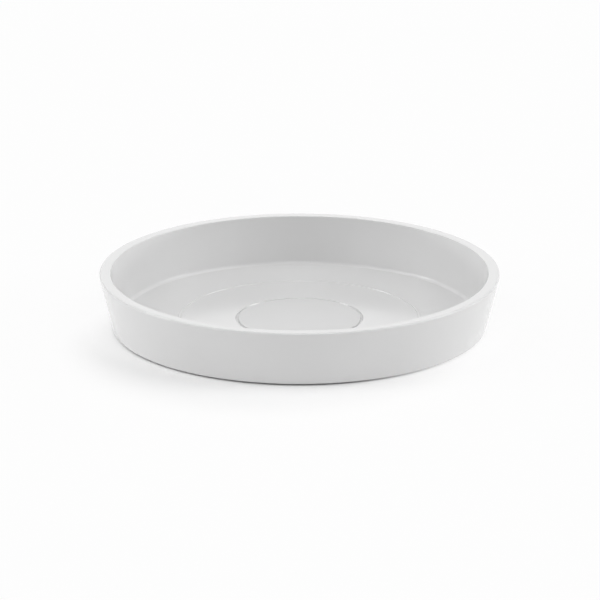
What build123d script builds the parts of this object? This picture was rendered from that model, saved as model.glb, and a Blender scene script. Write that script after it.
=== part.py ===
from build123d import *
from math import radians, tan
import os

# A round plant saucer: a moulded tray with a flat rim and a flared wall, standing on soft pads.
# Millimetres, +Z up, origin on the table under the tray's centre. The front faces -Y.

# Overall sizes
rim_diameter = 210.0
overall_height = 30.0
table_gap = 1.0  # clear height under the tray's base, which the pads leave

# Rim and wall, with drafts in degrees from upright
rim_width = 5.75
outer_draft = 13.6
inner_draft = 10.4
rim_outer_bend = 0.8
rim_inner_chamfer = 0.5
base_edge_chamfer = 0.4
wall_foot_bend = 2.0  # hollow corner between the wall and the floor

# Floor
floor_thickness = 3.2
base_band_width = 22.0  # flat ring under the wall, which carries the pads
underside_relief = 0.5  # how much higher the underside lies inside that ring

# Low ring on the floor, on which a pot stands
seat_ring_diameter = 126.4
seat_ring_height = 0.4
seat_ring_crest_width = 1.2
seat_ring_foot_width = 1.5

# Shallow groove round a plain disc in the middle of the floor
groove_diameter = 65.8  # across the middle of the groove
groove_width = 1.6
groove_bottom_width = 0.8
groove_depth = 0.9

# Gate mark under the centre: a dimple with the stub of the sprue in it
gate_dimple_diameter = 9.0
gate_dimple_depth = 0.4
gate_stub_diameter = 2.4
gate_stub_height = 0.25

# Soft pads, seated in round sockets in the base band
pad_places = ("back_right", "back_left", "front_left", "front_right")
pad_first_angle = 45.0  # degrees from +X to the first place
pad_diameter = 14.0
pad_socket_depth = 1.0
pad_side_clearance = 0.15
pad_edge_chamfer = 0.5

cut_overrun = 1.0

# Levels and radii that follow from the sizes above
base_level = table_gap
floor_level = base_level + floor_thickness
underside_level = base_level + underside_relief
pad_top_level = base_level + pad_socket_depth
rim_inner_radius = rim_diameter / 2 - rim_width
rim_corner_overhang = rim_outer_bend * (1 / tan(radians(90 - outer_draft) / 2) - 1)
rim_corner_radius = rim_diameter / 2 + rim_corner_overhang  # where wall and rim would meet unrounded


def outer_wall_radius(height):
    """Radius of the wall's outside at a height."""
    return rim_corner_radius - (overall_height - height) * tan(radians(outer_draft))


def inner_wall_radius(height):
    """Radius of the wall's inside at a height."""
    return rim_inner_radius - (overall_height - height) * tan(radians(inner_draft))


base_radius = outer_wall_radius(base_level)
band_inner_radius = base_radius - base_band_width
pad_circle_radius = base_radius - base_band_width / 2


def turned(corners):
    """A solid turned about +Z from the corners of its half section.

    Each corner is its radius, its height and the bend at it. The first and the last are on the axis.
    """
    points = [(radius, height) for radius, height, bend in corners]
    bends = [bend for radius, height, bend in corners[1:-1]]
    outline = FilletPolyline(*points, radius=bends) + Line(points[-1], points[0])
    return revolve(make_face(Plane.XZ * outline), Axis.Z)


def inside_corners():
    """The tray's inside, from the middle of the floor out to the edge of the rim."""
    groove_radius = groove_diameter / 2
    groove_level = floor_level - groove_depth
    ring_radius = seat_ring_diameter / 2
    crest_level = floor_level + seat_ring_height
    chamfer_level = overall_height - rim_inner_chamfer
    return [
        (0, floor_level, 0),
        (groove_radius - groove_width / 2, floor_level, 0),
        (groove_radius - groove_bottom_width / 2, groove_level, 0),
        (groove_radius + groove_bottom_width / 2, groove_level, 0),
        (groove_radius + groove_width / 2, floor_level, 0),
        (ring_radius - seat_ring_foot_width / 2, floor_level, 0),
        (ring_radius - seat_ring_crest_width / 2, crest_level, 0),
        (ring_radius + seat_ring_crest_width / 2, crest_level, 0),
        (ring_radius + seat_ring_foot_width / 2, floor_level, 0),
        (inner_wall_radius(floor_level), floor_level, wall_foot_bend),
        (inner_wall_radius(chamfer_level), chamfer_level, 0),
        (rim_inner_radius + rim_inner_chamfer, overall_height, 0),
    ]


def outside_corners():
    """The tray's outside, from the rim down to the gate mark under the middle of the base."""
    chamfer_level = base_level + base_edge_chamfer
    dimple_level = underside_level + gate_dimple_depth
    stub_level = dimple_level - gate_stub_height
    return [
        (rim_corner_radius, overall_height, rim_outer_bend),
        (outer_wall_radius(chamfer_level), chamfer_level, 0),
        (base_radius - base_edge_chamfer, base_level, 0),
        (band_inner_radius, base_level, 0),
        (band_inner_radius - underside_relief, underside_level, 0),
        (gate_dimple_diameter / 2, underside_level, 0),
        (gate_dimple_diameter / 2, dimple_level, 0),
        (gate_stub_diameter / 2, dimple_level, 0),
        (gate_stub_diameter / 2, stub_level, 0),
        (0, stub_level, 0),
    ]


def pad_socket():
    """The room that one pad takes out of the base band, with its side clearance."""
    bottom = base_level - cut_overrun
    room = Cylinder(
        pad_diameter / 2 + pad_side_clearance,
        pad_top_level - bottom,
        align=(Align.CENTER, Align.CENTER, Align.MIN),
    )
    return Pos(0, 0, bottom) * room


def saucer_tray(places):
    """The moulded tray, with a socket for a pad at each place."""
    tray = turned(inside_corners() + outside_corners())
    return tray - [place * pad_socket() for place in places]


def foot_pad():
    """One soft pad, standing on the table and reaching up to the end of its socket."""
    pad_radius = pad_diameter / 2
    return turned(
        [
            (0, pad_top_level, 0),
            (pad_radius, pad_top_level, 0),
            (pad_radius, pad_edge_chamfer, 0),
            (pad_radius - pad_edge_chamfer, 0, 0),
            (0, 0, 0),
        ]
    )


def main():
    """Writes the tray and each pad in its place."""
    os.makedirs("parts", exist_ok=True)
    places = PolarLocations(pad_circle_radius, len(pad_places), pad_first_angle).locations
    export_step(saucer_tray(places), "parts/saucer_tray.step")
    for name, place in zip(pad_places, places):
        export_step(place * foot_pad(), f"parts/foot_pad_{name}.step")


main()
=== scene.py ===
"""A white plant saucer on soft pads: its looks, light and camera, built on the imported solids."""

import logging
import math
from collections.abc import Iterable, Sequence
from dataclasses import dataclass
from enum import Enum
from typing import Any

import bmesh
import bpy
from mathutils import Matrix, Vector


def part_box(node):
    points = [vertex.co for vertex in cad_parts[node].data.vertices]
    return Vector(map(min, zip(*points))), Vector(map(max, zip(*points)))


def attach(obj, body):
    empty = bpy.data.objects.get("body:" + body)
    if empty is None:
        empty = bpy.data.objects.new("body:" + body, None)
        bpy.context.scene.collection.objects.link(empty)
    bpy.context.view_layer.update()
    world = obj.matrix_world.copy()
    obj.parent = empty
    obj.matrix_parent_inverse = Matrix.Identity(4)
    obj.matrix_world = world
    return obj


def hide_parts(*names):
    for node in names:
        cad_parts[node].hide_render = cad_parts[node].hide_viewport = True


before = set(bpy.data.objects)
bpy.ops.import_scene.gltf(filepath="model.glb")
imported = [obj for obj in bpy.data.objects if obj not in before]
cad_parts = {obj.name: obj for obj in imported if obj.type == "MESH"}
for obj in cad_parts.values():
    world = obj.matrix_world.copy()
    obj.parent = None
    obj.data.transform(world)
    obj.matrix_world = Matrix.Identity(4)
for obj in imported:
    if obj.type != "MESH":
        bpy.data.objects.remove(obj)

LOG = logging.getLogger("plant_saucer")
MM = 0.001
BODY = "root"
RIM_INSET = 0.02 * MM


class Slot(Enum):
    """Material slots of the record."""

    WHITE_PLASTIC = "white_plastic"
    PAD_RUBBER = "pad_rubber"


class PadPlace(Enum):
    """Where a pad sits under the base, as the solids' names say it."""

    BACK_RIGHT = "back_right"
    BACK_LEFT = "back_left"
    FRONT_LEFT = "front_left"
    FRONT_RIGHT = "front_right"


@dataclass(frozen=True)
class Noise:
    """A cloudy pattern: the size of its clouds in metres, its octaves and how strong they are."""

    grain: float
    detail: float = 2.0
    roughness: float = 0.5


class Signal:
    """A socket in a node tree that takes part in arithmetic."""

    def __init__(self, graph: "Graph", socket: bpy.types.NodeSocket) -> None:
        """Keeps the socket and the graph that its sums are added to."""
        self.graph = graph
        self.socket = socket

    def _join(self, operation: str, first: Any, second: Any) -> "Signal":
        """Adds a Math node for two values and returns its result."""
        return self.graph.node("ShaderNodeMath", {"operation": operation}, {0: first, 1: second})

    def __add__(self, other: Any) -> "Signal":
        """self + other."""
        return self._join("ADD", self, other)

    def __radd__(self, other: Any) -> "Signal":
        """other + self."""
        return self._join("ADD", other, self)

    def __sub__(self, other: Any) -> "Signal":
        """self - other."""
        return self._join("SUBTRACT", self, other)

    def __rsub__(self, other: Any) -> "Signal":
        """other - self."""
        return self._join("SUBTRACT", other, self)

    def __mul__(self, other: Any) -> "Signal":
        """self * other."""
        return self._join("MULTIPLY", self, other)

    def __pow__(self, other: Any) -> "Signal":
        """self ** other."""
        return self._join("POWER", self, other)


def grey(level: float) -> tuple[float, float, float, float]:
    """An opaque neutral colour of that level."""
    return (level, level, level, 1.0)


class Graph:
    """A node tree that is filled one node at a time."""

    mix_first, mix_second, mix_result = 6, 7, 2

    def __init__(self, tree: bpy.types.NodeTree) -> None:
        """Empties the tree.

        Args:
            tree: the node tree of a material or a world.
        """
        self.tree = tree
        tree.nodes.clear()

    def node(
        self,
        kind: str,
        settings: dict[str, Any],
        sockets: dict[Any, Any],
        output: Any = 0,
    ) -> Signal:
        """Adds a node.

        Args:
            kind: the node's Blender type.
            settings: properties of the node, set first.
            sockets: values or signals by the input's name or number.
            output: name or number of the output that is returned.

        Returns:
            That output as a signal.
        """
        made = self.tree.nodes.new(kind)
        for name, value in settings.items():
            setattr(made, name, value)
        for key, value in sockets.items():
            if isinstance(value, Signal):
                self.tree.links.new(value.socket, made.inputs[key])
            else:
                made.inputs[key].default_value = value
        return Signal(self, made.outputs[output] if made.outputs else None)

    def outputs(self, signal: Signal, *names: str) -> list[Signal]:
        """More outputs of a signal's own node, by name."""
        return [Signal(self, signal.socket.node.outputs[name]) for name in names]

    def seen(self) -> Signal:
        """1 for rays from the camera, a reflection or through glass, 0 for light that spreads."""
        camera = self.node("ShaderNodeLightPath", {}, {}, "Is Camera Ray")
        glossy, through = self.outputs(camera, "Is Glossy Ray", "Is Transmission Ray")
        settings = {"operation": "ADD", "use_clamp": True}
        return self.node("ShaderNodeMath", settings, {0: camera + glossy, 1: through})

    def from_axis(self, position: Signal, x: float = 0.0, y: float = 0.0) -> Signal:
        """Distance of a position from an upright axis that stands at x and y."""
        sockets = {0: position, 1: (1.0, 1.0, 0.0), 2: (-x, -y, 0.0)}
        level = self.node("ShaderNodeVectorMath", {"operation": "MULTIPLY_ADD"}, sockets)
        return self.node("ShaderNodeVectorMath", {"operation": "LENGTH"}, {0: level}, "Value")

    def noise(self, position: Signal, pattern: Noise) -> Signal:
        """Cloudy noise.

        Args:
            position: where the pattern is read.
            pattern: its size and detail.

        Returns:
            A value around one half.
        """
        sockets = {
            "Vector": position,
            "Scale": 1.0 / pattern.grain,
            "Detail": pattern.detail,
            "Roughness": pattern.roughness,
        }
        return self.node("ShaderNodeTexNoise", {}, sockets)

    def fade(self, value: Signal, start: float, end: float) -> Signal:
        """A smooth step that is 0 at start and 1 at end."""
        limits = {"Value": value, "From Min": start, "From Max": end}
        return self.node("ShaderNodeMapRange", {"interpolation_type": "SMOOTHSTEP"}, limits)

    def blend(self, share: Signal, first: float, second: float, clamp: bool = True) -> Signal:
        """A neutral colour between two levels.

        Args:
            share: 0 for the first level and 1 for the second.
            first: the level at 0.
            second: the level at 1.
            clamp: whether the share is kept between 0 and 1.

        Returns:
            The colour.
        """
        settings = {"data_type": "RGBA", "clamp_factor": clamp}
        sockets = {"Factor": share, self.mix_first: grey(first), self.mix_second: grey(second)}
        return self.node("ShaderNodeMix", settings, sockets, self.mix_result)

    def bump(self, height: Signal, depth: float, below: Signal | None = None) -> Signal:
        """A bumped normal.

        Args:
            height: pattern of the surface's height, from 0 to 1.
            depth: height in metres of the pattern's full range.
            below: the normal of a coarser bump that this one is laid on.

        Returns:
            The normal.
        """
        sockets: dict[str, Any] = {"Height": height, "Distance": depth, "Strength": 1.0}
        if below is not None:
            sockets["Normal"] = below
        return self.node("ShaderNodeBump", {}, sockets)


@dataclass(frozen=True)
class MouldedPlastic:
    """Satin white polypropylene as it leaves a polished mould, with light handling marks."""

    rim_radius: float
    rim_height: float
    disc_radius: float
    disc_height: float
    colour: float = 0.75
    shade: float = 0.73
    cloud_tint: float = 0.8
    scuff_tint: float = 0.2
    rubbed_tint: float = 0.5
    # painted shade: darkens the disc's colour in place of the darker reflection it shows
    disc_painted_shade: float = 2.8
    ior: float = 1.49
    roughness: float = 0.16
    roughness_spread: float = 0.04
    scuff_roughness: float = 0.03
    rubbed_roughness: float = 0.06
    disc_roughness: float = 0.15
    disc_edge: float = 0.6 * MM
    edge_reach: float = 1.6 * MM
    clouds: Noise = Noise(34 * MM, 3.0)
    scuffs: Noise = Noise(6 * MM, 5.0, 0.7)
    scuff_limits: tuple[float, float] = (0.56, 0.72)
    rubbing: Noise = Noise(11 * MM, 4.0, 0.65)
    rubbing_limits: tuple[float, float] = (0.42, 0.62)
    ripples: Noise = Noise(11 * MM, 1.0)
    ripple_depth: float = 0.012 * MM
    grain: Noise = Noise(0.45 * MM)
    grain_depth: float = 0.0012 * MM

    def material(self) -> bpy.types.Material:
        """Builds the finish.

        Returns:
            A material with cloudy tint, rubbed rim edges, a duller disc with painted shade and a
            fine moulded grain.
        """
        made = bpy.data.materials.new("white_moulding")
        made.use_nodes = True
        graph = Graph(made.node_tree)
        position = graph.node("ShaderNodeTexCoord", {}, {}, "Object")
        radius = graph.from_axis(position)
        split = graph.node("ShaderNodeSeparateXYZ", {}, {"Vector": position})
        (height,) = graph.outputs(split, "Z")
        clouds = graph.noise(position, self.clouds)
        rubbed = self._rubbed_edge(graph, position, radius, height)
        disc = self._disc(graph, radius, height)
        scuffs = graph.fade(graph.noise(position, self.scuffs), *self.scuff_limits)
        tint = (
            clouds * self.cloud_tint
            + scuffs * self.scuff_tint
            - rubbed * self.rubbed_tint
            # painted shade: the disc's colour is made darker
            + disc * self.disc_painted_shade
        )
        colour = graph.blend(tint, self.colour, self.shade, clamp=False)
        roughness = (
            self.roughness
            + (clouds - 0.5) * self.roughness_spread
            + scuffs * self.scuff_roughness
            + rubbed * self.rubbed_roughness
            + disc * self.disc_roughness
        )
        ripples = graph.bump(graph.noise(position, self.ripples), self.ripple_depth)
        normal = graph.bump(graph.noise(position, self.grain), self.grain_depth, ripples)
        shader = graph.node(
            "ShaderNodeBsdfPrincipled",
            {},
            {"Base Color": colour, "Roughness": roughness, "Normal": normal, "IOR": self.ior},
        )
        graph.node("ShaderNodeOutputMaterial", {}, {"Surface": shader})
        return made

    def _disc(self, graph: Graph, radius: Signal, height: Signal) -> Signal:
        """The duller disc that the groove runs round, whose colour is also darkened as painted
        shade.

        Args:
            graph: the material's graph.
            radius: distance from the tray's axis.
            height: height above the table.

        Returns:
            A mask, 1 on the disc's upper side and 0 elsewhere.
        """
        edge = self.disc_edge
        within = graph.fade(radius, self.disc_radius + edge, self.disc_radius - edge)
        above = graph.fade(height, self.disc_height - 2.0 * edge, self.disc_height - edge)
        return within * above

    def _rubbed_edge(
        self,
        graph: Graph,
        position: Signal,
        radius: Signal,
        height: Signal,
    ) -> Signal:
        """Where hands and pots rub the rim's outer edge.

        Args:
            graph: the material's graph.
            position: Object coordinates.
            radius: distance from the tray's axis.
            height: height above the table.

        Returns:
            A patchy mask, 1 on the edge and 0 away from it.
        """
        away = ((radius - self.rim_radius) ** 2.0 + (height - self.rim_height) ** 2.0) ** 0.5
        near = graph.fade(away, self.edge_reach, 0.0)
        return near * graph.fade(graph.noise(position, self.rubbing), *self.rubbing_limits)


@dataclass(frozen=True)
class PadRubber:
    """Matt grey thermoplastic rubber with a fine sandy surface and a little dust."""

    colour: float = 0.10
    dust: float = 0.19
    dust_limits: tuple[float, float] = (0.5, 0.72)
    ior: float = 1.5
    roughness: float = 0.72
    roughness_spread: float = 0.16
    speckle: Noise = Noise(1.4 * MM, 5.0, 0.65)
    grain: Noise = Noise(0.22 * MM, 3.0, 0.6)
    grain_depth: float = 0.03 * MM

    def material(self) -> bpy.types.Material:
        """Builds the finish.

        Returns:
            A material with dusty patches and a sandy bump.
        """
        made = bpy.data.materials.new("soft_pad")
        made.use_nodes = True
        graph = Graph(made.node_tree)
        position = graph.node("ShaderNodeTexCoord", {}, {}, "Object")
        speckle = graph.noise(position, self.speckle)
        colour = graph.blend(graph.fade(speckle, *self.dust_limits), self.colour, self.dust)
        roughness = self.roughness + speckle * self.roughness_spread
        normal = graph.bump(graph.noise(position, self.grain), self.grain_depth)
        shader = graph.node(
            "ShaderNodeBsdfPrincipled",
            {},
            {"Base Color": colour, "Roughness": roughness, "Normal": normal, "IOR": self.ior},
        )
        graph.node("ShaderNodeOutputMaterial", {}, {"Surface": shader})
        return made


@dataclass(frozen=True)
class Corner:
    """A corner of a half section: its radius, its height and the bend that rounds it."""

    radius: float
    height: float
    bend: float = 0.0
    steps: int = 3


class TurnedShape:
    """A mesh that is turned about an upright axis from half sections with rounded corners."""

    weld = 0.0001 * MM
    sharp_angle = math.radians(35.0)

    def __init__(self, turns: int) -> None:
        """Starts with an empty mesh.

        Args:
            turns: sides of a full turn.
        """
        self.mesh = bmesh.new()
        self.turns = turns

    def turn(self, corners: Sequence[Corner]) -> None:
        """Adds the surface that a chain of corners sweeps in a full turn about +Z.

        Args:
            corners: the section from end to end. Its ends stay open, or close on the axis.
        """
        known = set(self.mesh.verts)
        points = [self.mesh.verts.new((corner.radius, 0.0, corner.height)) for corner in corners]
        for first, second in zip(points, points[1:]):
            self.mesh.edges.new((first, second))
        for before, corner, after, point in zip(corners, corners[1:], corners[2:], points[1:]):
            if corner.bend > 0.0:
                self._round(point, before, corner, after)
        wire = [vert for vert in self.mesh.verts if vert not in known]
        edges = {edge for vert in wire for edge in vert.link_edges}
        bmesh.ops.spin(
            self.mesh,
            geom=[*wire, *edges],
            cent=(0.0, 0.0, 0.0),
            axis=(0.0, 0.0, 1.0),
            dvec=(0.0, 0.0, 0.0),
            angle=math.tau,
            space=Matrix.Identity(4),
            steps=self.turns,
            use_merge=True,
            use_normal_flip=False,
            use_duplicate=False,
        )
        bmesh.ops.remove_doubles(self.mesh, verts=self.mesh.verts, dist=self.weld)

    def _round(
        self,
        point: bmesh.types.BMVert,
        before: Corner,
        corner: Corner,
        after: Corner,
    ) -> None:
        """Rounds one corner of the section.

        Args:
            point: the corner's vertex.
            before: the corner before it.
            corner: the corner itself.
            after: the corner after it.
        """
        back = Vector((before.radius - corner.radius, before.height - corner.height))
        ahead = Vector((after.radius - corner.radius, after.height - corner.height))
        bmesh.ops.bevel(
            self.mesh,
            geom=[point],
            offset=corner.bend / math.tan(back.angle(ahead) / 2.0),
            offset_type="OFFSET",
            segments=corner.steps,
            profile=0.5,
            affect="VERTICES",
            material=-1,
            clamp_overlap=True,
        )

    def finish(self, name: str, material: bpy.types.Material, place: Vector) -> bpy.types.Object:
        """Makes the piece.

        Args:
            name: the piece's name.
            material: its finish.
            place: where the axis stands; the place goes into the mesh.

        Returns:
            An object at the origin with outward faces, smooth but for its sharp edges.
        """
        bmesh.ops.recalc_face_normals(self.mesh, faces=self.mesh.faces)
        bmesh.ops.translate(self.mesh, vec=place, verts=self.mesh.verts)
        data = bpy.data.meshes.new(name)
        self.mesh.to_mesh(data)
        self.mesh.free()
        data.polygons.foreach_set("use_smooth", [True] * len(data.polygons))
        data.set_sharp_from_angle(angle=self.sharp_angle)
        data.materials.append(material)
        piece = bpy.data.objects.new(name, data)
        bpy.context.scene.collection.objects.link(piece)
        weighted = piece.modifiers.new("flat_faces_rule", "WEIGHTED_NORMAL")
        weighted.keep_sharp = True
        return piece


@dataclass
class Tray:
    """The moulded tray: flat rim, flared wall, pot ring, centre groove and pad sockets."""

    rim_radius: float
    rim_height: float
    base_height: float
    pad_centres: Sequence[Vector]
    turns: int = 256
    rim_width: float = 5.75 * MM
    outer_draft: float = math.radians(13.6)
    inner_draft: float = math.radians(10.4)
    rim_outer_bend: float = 0.8 * MM
    rim_outer_steps: int = 7
    rim_inner_bend: float = 0.35 * MM
    rim_inner_steps: int = 5
    base_edge_bend: float = 0.45 * MM
    base_edge_steps: int = 6
    wall_foot_bend: float = 2.0 * MM
    wall_foot_steps: int = 9
    floor_thickness: float = 3.2 * MM
    base_band_width: float = 22.0 * MM
    underside_relief: float = 0.5 * MM
    ring_radius: float = 63.2 * MM
    ring_height: float = 0.4 * MM
    ring_crest_width: float = 1.2 * MM
    ring_foot_width: float = 1.5 * MM
    ring_bend: float = 0.12 * MM
    groove_radius: float = 32.9 * MM
    groove_width: float = 1.6 * MM
    groove_bottom_width: float = 0.8 * MM
    groove_depth: float = 0.9 * MM
    groove_bend: float = 0.15 * MM
    dimple_radius: float = 4.5 * MM
    dimple_depth: float = 0.4 * MM
    stub_radius: float = 1.2 * MM
    stub_height: float = 0.25 * MM
    underside_bend: float = 0.15 * MM
    socket_radius: float = 7.15 * MM
    socket_depth: float = 1.0 * MM
    socket_sides: int = 64

    def build(self, material: bpy.types.Material) -> bpy.types.Object:
        """Models and dresses the tray.

        Args:
            material: the tray's finish.

        Returns:
            The piece that stands for the tray's solid.
        """
        shape = TurnedShape(self.turns)
        shape.turn([*self._inside(), *self._outside()])
        shape.turn(self._underside())
        self._close_band(shape.mesh)
        piece = shape.finish("tray", material, Vector((0.0, 0.0, 0.0)))
        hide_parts("saucer_tray")
        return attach(piece, BODY)

    def _outer_wall(self, height: float) -> float:
        """Radius of the wall's outside at a height."""
        half_turn = (math.pi / 2.0 - self.outer_draft) / 2.0
        overhang = self.rim_outer_bend * (1.0 / math.tan(half_turn) - 1.0)
        return self.rim_radius + overhang - (self.rim_height - height) * math.tan(self.outer_draft)

    def _inner_wall(self, height: float) -> float:
        """Radius of the wall's inside at a height."""
        top = self.rim_radius - self.rim_width
        return top - (self.rim_height - height) * math.tan(self.inner_draft)

    @property
    def floor_height(self) -> float:
        """Height of the inside floor."""
        return self.base_height + self.floor_thickness

    @property
    def _band_inner(self) -> float:
        """Radius at which the flat band under the wall ends."""
        return self._outer_wall(self.base_height) - self.base_band_width

    def _inside(self) -> list[Corner]:
        """Section of the inside, from the middle of the floor to the rim's inner edge."""
        floor, bottom = self.floor_height, self.floor_height - self.groove_depth
        crest, top = floor + self.ring_height, self.rim_height
        groove, ring = self.groove_radius, self.ring_radius
        top_half, bottom_half = self.groove_width / 2, self.groove_bottom_width / 2
        crest_half, foot_half = self.ring_crest_width / 2, self.ring_foot_width / 2
        return [
            Corner(0.0, floor),
            Corner(groove - top_half, floor, self.groove_bend),
            Corner(groove - bottom_half, bottom, self.groove_bend),
            Corner(groove + bottom_half, bottom, self.groove_bend),
            Corner(groove + top_half, floor, self.groove_bend),
            Corner(ring - foot_half, floor, self.ring_bend),
            Corner(ring - crest_half, crest, self.ring_bend),
            Corner(ring + crest_half, crest, self.ring_bend),
            Corner(ring + foot_half, floor, self.ring_bend),
            Corner(self._inner_wall(floor), floor, self.wall_foot_bend, self.wall_foot_steps),
            Corner(self._inner_wall(top), top, self.rim_inner_bend, self.rim_inner_steps),
        ]

    def _outside(self) -> list[Corner]:
        """Section of the outside, from the rim's outer edge to the flat band under the wall."""
        top, base = self.rim_height, self.base_height
        return [
            Corner(self._outer_wall(top), top, self.rim_outer_bend, self.rim_outer_steps),
            Corner(self._outer_wall(base), base, self.base_edge_bend, self.base_edge_steps),
            Corner(self._outer_wall(base) - 2.0 * self.base_edge_bend, base),
        ]

    def _underside(self) -> list[Corner]:
        """Section of the underside, from the flat band to the gate mark in the middle."""
        relief = self.base_height + self.underside_relief
        dimple = relief + self.dimple_depth
        stub = dimple - self.stub_height
        return [
            Corner(self._band_inner, self.base_height),
            Corner(self._band_inner - self.underside_relief, relief, self.underside_bend),
            Corner(self.dimple_radius, relief, self.underside_bend),
            Corner(self.dimple_radius, dimple, self.underside_bend),
            Corner(self.stub_radius, dimple),
            Corner(self.stub_radius, stub),
            Corner(0.0, stub),
        ]

    def _close_band(self, mesh: bmesh.types.BMesh) -> None:
        """Fills the flat band under the wall and sinks the pads' sockets into it.

        Args:
            mesh: the tray's mesh, open along the band's two edges.
        """
        edges = [edge for edge in mesh.edges if edge.is_boundary]
        rings: list[list[bmesh.types.BMEdge]] = []
        for centre in self.pad_centres:
            made = bmesh.ops.create_circle(
                mesh,
                cap_ends=False,
                segments=self.socket_sides,
                radius=self.socket_radius,
                matrix=Matrix.Translation((centre.x, centre.y, self.base_height)),
            )
            rings.append(list({edge for vert in made["verts"] for edge in vert.link_edges}))
        edges.extend(edge for ring in rings for edge in ring)
        bmesh.ops.triangle_fill(
            mesh,
            use_beauty=True,
            use_dissolve=False,
            edges=edges,
            normal=(0.0, 0.0, -1.0),
        )
        for ring in rings:
            grown = bmesh.ops.extrude_edge_only(mesh, edges=ring)["geom"]
            verts = [item for item in grown if isinstance(item, bmesh.types.BMVert)]
            ends = [item for item in grown if isinstance(item, bmesh.types.BMEdge)]
            bmesh.ops.translate(mesh, vec=(0.0, 0.0, self.socket_depth), verts=verts)
            bmesh.ops.edgeloop_fill(mesh, edges=ends)


@dataclass
class FootPad:
    """One soft pad: a disc with a rounded edge and grip rings underneath."""

    place: PadPlace
    radius: float
    top: float
    centre: Vector
    turns: int = 96
    edge_bend: float = 0.5 * MM
    edge_steps: int = 5
    groove_radii: tuple[float, ...] = (2.6 * MM, 4.6 * MM)
    groove_width: float = 0.7 * MM
    groove_depth: float = 0.22 * MM
    groove_bend: float = 0.08 * MM
    groove_steps: int = 2

    @classmethod
    def at(cls, place: PadPlace) -> "FootPad":
        """The pad at a place, with the size and position of its solid."""
        low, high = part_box(cls.node(place))
        centre = (low + high) / 2.0
        return cls(place, (high.x - low.x) / 2.0, high.z, Vector((centre.x, centre.y, 0.0)))

    @staticmethod
    def node(place: PadPlace) -> str:
        """Name of the solid at a place."""
        return f"foot_pad_{place.value}"

    def build(self, material: bpy.types.Material) -> bpy.types.Object:
        """Models and dresses the pad.

        Args:
            material: the pad's finish.

        Returns:
            The piece that stands for the pad's solid.
        """
        shape = TurnedShape(self.turns)
        shape.turn(self._section())
        piece = shape.finish(f"pad_{self.place.value}", material, self.centre)
        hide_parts(self.node(self.place))
        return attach(piece, BODY)

    def _section(self) -> list[Corner]:
        """Section of the pad, from the middle of its top round to the middle of its underside."""
        corners = [
            Corner(0.0, self.top),
            Corner(self.radius, self.top, self.groove_bend),
            Corner(self.radius, 0.0, self.edge_bend, self.edge_steps),
        ]
        bend, steps, depth = self.groove_bend, self.groove_steps, self.groove_depth
        for groove in sorted(self.groove_radii, reverse=True):
            outer, inner = groove + self.groove_width / 2.0, groove - self.groove_width / 2.0
            corners += [
                Corner(outer, 0.0, bend, steps),
                Corner(outer - depth / 2, depth, bend, steps),
                Corner(inner + depth / 2, depth, bend, steps),
                Corner(inner, 0.0, bend, steps),
            ]
        return [*corners, Corner(0.0, 0.0)]


@dataclass(frozen=True)
class Lamp:
    """A far, broad studio lamp, so that it lights the whole floor alike.

    Its angles are in degrees, the azimuth from the front towards the right. Without glints,
    glossy surfaces don't mirror it.
    """

    name: str
    azimuth: float
    elevation: float
    level: float
    breadth: float
    glints: bool = True

    def build(self) -> None:
        """Adds the lamp. A white face turned to it has its level as brightness."""
        data = bpy.data.lights.new(self.name, "SUN")
        data.energy = self.level * math.pi
        data.angle = math.radians(self.breadth)
        lamp = bpy.data.objects.new(self.name, data)
        around, up = math.radians(self.azimuth), math.radians(self.elevation)
        level = Vector((math.sin(around), -math.cos(around), 0.0)) * math.cos(up)
        towards = level + Vector((0.0, 0.0, math.sin(up)))
        lamp.rotation_mode = "QUATERNION"
        lamp.rotation_quaternion = towards.to_track_quat("Z", "Y")
        lamp.location = towards
        lamp.visible_glossy = self.glints
        bpy.context.scene.collection.objects.link(lamp)


@dataclass(frozen=True)
class Shade:
    """A round patch of floor that keeps the saucer's shadow.

    The floor has no white of its own within the inner radius, and all of it past the outer one.
    """

    x: float
    y: float
    inner: float
    outer: float


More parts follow.
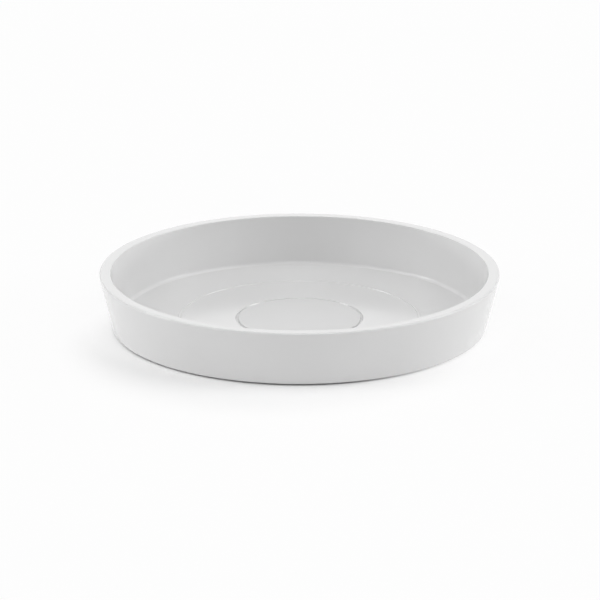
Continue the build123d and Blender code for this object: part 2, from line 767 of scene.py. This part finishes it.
@dataclass(frozen=True)
class Studio:
    """The pale floor, the lamps and the white surround."""

    floor_size: float = 8.0
    floor_colour: float = 0.96
    floor_colour_spread: float = 0.004
    floor_clouds: Noise = Noise(90 * MM)
    floor_roughness: float = 0.9
    floor_white_share: float = 0.885
    shades: tuple[Shade, ...] = (
        Shade(-16.0 * MM, -40.0 * MM, 63.0 * MM, 111.0 * MM),
        Shade(0.0, 7.0 * MM, 90.0 * MM, 99.0 * MM),
    )
    ambient: float = 0.268
    front_gloss: float = 0.3
    front_blend: float = 0.2
    lamps: tuple[Lamp, ...] = (
        Lamp("front_softbox", 0.0, 50.0, 0.259, 36.0),
        Lamp("right_high_softbox", 90.0, 50.0, 0.219, 36.0),
        Lamp("left_high_softbox", 270.0, 50.0, 0.182, 36.0),
        Lamp("right_softbox", 90.0, 18.0, 0.171, 20.0),
        Lamp("left_softbox", 270.0, 18.0, 0.171, 20.0),
        Lamp("back_softbox", 180.0, 18.0, 0.014, 20.0),
        Lamp("right_strip", 120.0, 3.0, 0.240, 6.0, False),
        Lamp("left_strip", 240.0, 3.0, 0.205, 6.0, False),
    )

    def build(self) -> None:
        """Adds the floor, the lamps and the surround."""
        self._floor()
        for lamp in self.lamps:
            lamp.build()
            LOG.info("lamp %s", lamp.name)
        self._surround()

    def _floor(self) -> None:
        """Adds the floor: matt where the saucer shades it, and mostly its own white farther out."""
        mesh = bmesh.new()
        bmesh.ops.create_grid(mesh, x_segments=1, y_segments=1, size=self.floor_size / 2.0)
        data = bpy.data.meshes.new("studio_floor")
        mesh.to_mesh(data)
        mesh.free()
        data.materials.append(self._floor_material())
        floor = bpy.data.objects.new("studio_floor", data)
        bpy.context.scene.collection.objects.link(floor)

    def _floor_material(self) -> bpy.types.Material:
        """The floor's finish.

        Returns:
            A matt white that glows for the camera and for reflections, but not in the shades.
        """
        made = bpy.data.materials.new("studio_floor")
        made.use_nodes = True
        graph = Graph(made.node_tree)
        position = graph.node("ShaderNodeTexCoord", {}, {}, "Object")
        clouds = graph.noise(position, self.floor_clouds)
        darker = self.floor_colour - self.floor_colour_spread
        lit = graph.node(
            "ShaderNodeBsdfPrincipled",
            {},
            {
                "Base Color": graph.blend(clouds, self.floor_colour, darker),
                "Roughness": self.floor_roughness,
                "Specular IOR Level": 0.0,
            },
        )
        white = graph.node("ShaderNodeEmission", {}, {"Color": grey(1.0), "Strength": 1.0})
        share = graph.seen() * self.floor_white_share
        for shade in self.shades:
            away = graph.from_axis(position, shade.x, shade.y)
            share = share * graph.fade(away, shade.inner, shade.outer)
        shader = graph.node("ShaderNodeMixShader", {}, {0: share, 1: lit, 2: white})
        graph.node("ShaderNodeOutputMaterial", {}, {"Surface": shader})
        return made

    def _surround(self) -> None:
        """Adds a surround that looks white, mirrors dimmer at the front and lights all round."""
        world = bpy.data.worlds.new("studio_surround")
        world.use_nodes = True
        bpy.context.scene.world = world
        graph = Graph(world.node_tree)
        direction = graph.node("ShaderNodeTexCoord", {}, {}, "Generated")
        split = graph.node("ShaderNodeSeparateXYZ", {}, {"Vector": direction})
        (back,) = graph.outputs(split, "Y")
        glossy = graph.node("ShaderNodeLightPath", {}, {}, "Is Glossy Ray")
        seen = graph.seen()
        front = graph.fade(back, self.front_blend, -self.front_blend)
        dimmed = glossy * front * (1.0 - self.front_gloss)
        strength = seen * (1.0 - dimmed) + (1.0 - seen) * self.ambient
        dark = graph.node("ShaderNodeBackground", {}, {"Color": grey(0.0)})
        white = graph.node("ShaderNodeBackground", {}, {"Color": grey(1.0)})
        light = graph.node("ShaderNodeMixShader", {}, {0: strength, 1: dark, 2: white})
        graph.node("ShaderNodeOutputWorld", {}, {"Surface": light})


@dataclass(frozen=True)
class Camera:
    """The photograph's camera: far away, with a long lens."""

    elevation: float = math.radians(17.95)
    distance: float = 2105.0 * MM
    lens: float = 240.0
    sensor: float = 36.0
    reach: float = 100.0
    aim: tuple[float, float, float] = (0.3 * MM, 0.0, 13.8 * MM)

    def build(self) -> None:
        """Adds the camera and makes it the scene's own."""
        data = bpy.data.cameras.new("photo_camera")
        data.lens = self.lens
        data.sensor_width = self.sensor
        data.clip_end = self.reach
        camera = bpy.data.objects.new("photo_camera", data)
        back = Vector((0.0, -math.cos(self.elevation), math.sin(self.elevation)))
        camera.location = Vector(self.aim) + back * self.distance
        camera.rotation_mode = "QUATERNION"
        camera.rotation_quaternion = (-back).to_track_quat("-Z", "Y")
        bpy.context.scene.collection.objects.link(camera)
        bpy.context.scene.camera = camera


def main() -> None:
    """Builds the saucer, the studio and the camera."""
    logging.basicConfig(level=logging.INFO, format="%(name)s: %(message)s")
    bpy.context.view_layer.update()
    low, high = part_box("saucer_tray")
    pads = [FootPad.at(place) for place in PadPlace]
    tray = Tray(high.x - RIM_INSET, high.z, low.z, [pad.centre for pad in pads])
    plastic = MouldedPlastic(
        tray.rim_radius,
        tray.rim_height,
        tray.groove_radius,
        tray.floor_height,
    ).material()
    rubber = PadRubber().material()
    for builder, finish in [(tray, plastic), *((pad, rubber) for pad in pads)]:
        piece = builder.build(finish)
        LOG.info("piece %s, %d faces", piece.name, len(piece.data.polygons))
    Studio().build()
    Camera().build()
    bpy.context.scene.view_settings.view_transform = "Standard"


if __name__ == "__main__":
    main()
